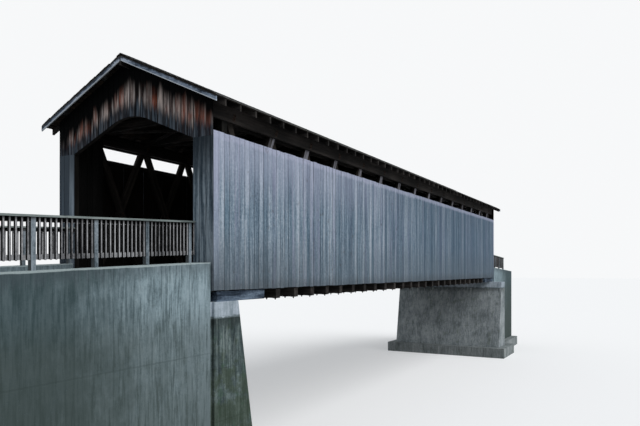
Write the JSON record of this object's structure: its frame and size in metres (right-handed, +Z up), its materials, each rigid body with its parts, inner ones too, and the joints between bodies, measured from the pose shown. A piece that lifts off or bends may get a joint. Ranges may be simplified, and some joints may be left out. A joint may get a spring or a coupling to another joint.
{
  "type": "covered bridge",
  "caption": "Covered timber bridge with a gabled shingle roof, crossing-brace trusses, picket railings and concrete abutments.",
  "frame": {"origin": "centre of the footings' base, below mid-span and the middle of the roadway", "axes": "+Z up, +Y along the roadway from the near portal to the far one, +X to the right seen from the near portal"},
  "size_m": [7.48, 39, 10.6602],
  "materials": {
    "footing_concrete": "rough grey concrete",
    "old_concrete": "weathered concrete with dark green stains",
    "pale_concrete": "newer pale concrete",
    "wall_concrete": "board-marked concrete with vertical stains",
    "rail_timber": "bare weathered timber",
    "bolster_timber": "bare grey timber",
    "floor_timber": "dark sawn timber",
    "deck_timber": "worn sawn planks",
    "truss_timber": "dark aged timber",
    "frame_timber": "dark aged timber",
    "sheathing_timber": "dark sawn boards",
    "shingle": "dark weathered shingles",
    "barge_timber": "pale weathered board",
    "siding_timber": "silver grey weathered boards",
    "portal_timber": "blue grey weathered boards",
    "gable_timber": "brown and red weathered boards",
    "shelter_timber": "dark sawn boards"
  },
  "bodies": {
    "root": {"footing_near": "footing_concrete", "footing_far": "footing_concrete", "abutment_near": "old_concrete", "abutment_far": "old_concrete", "seat_cap_near": "pale_concrete", "seat_cap_far": "pale_concrete", "backwall_near": "old_concrete", "backwall_far": "old_concrete", "wing_walls_near": "wall_concrete", "wing_walls_far": "wall_concrete", "railing_posts_near": "rail_timber", "railing_posts_far": "rail_timber", "railing_panels_near": "rail_timber", "railing_panels_far": "rail_timber", "railing_caps_near": "rail_timber", "railing_caps_far": "rail_timber", "bolsters": "bolster_timber", "bearing_sills": "bolster_timber", "floor_beams": "floor_timber", "stringers": "floor_timber", "deck": "deck_timber", "running_boards": "deck_timber", "bottom_chords": "truss_timber", "top_chords": "truss_timber", "main_braces": "truss_timber", "counter_braces": "truss_timber", "end_posts": "truss_timber", "wall_plates": "frame_timber", "tie_beams": "frame_timber", "lateral_braces": "frame_timber", "rafters": "frame_timber", "ridge_board": "frame_timber", "sheathing_left": "sheathing_timber", "sheathing_right": "sheathing_timber", "shingles_left": "shingle", "shingles_right": "shingle", "ridge_cap": "shingle", "barge_boards": "barge_timber", "siding_left": "siding_timber", "siding_right": "siding_timber", "siding_nailers": "frame_timber", "portal_jambs_near": "portal_timber", "portal_jambs_far": "portal_timber", "gable_near": "gable_timber", "gable_far": "gable_timber", "portal_posts": "frame_timber", "portal_heads": "frame_timber", "shelter_boards": "shelter_timber"}
  },
  "joints": []
}
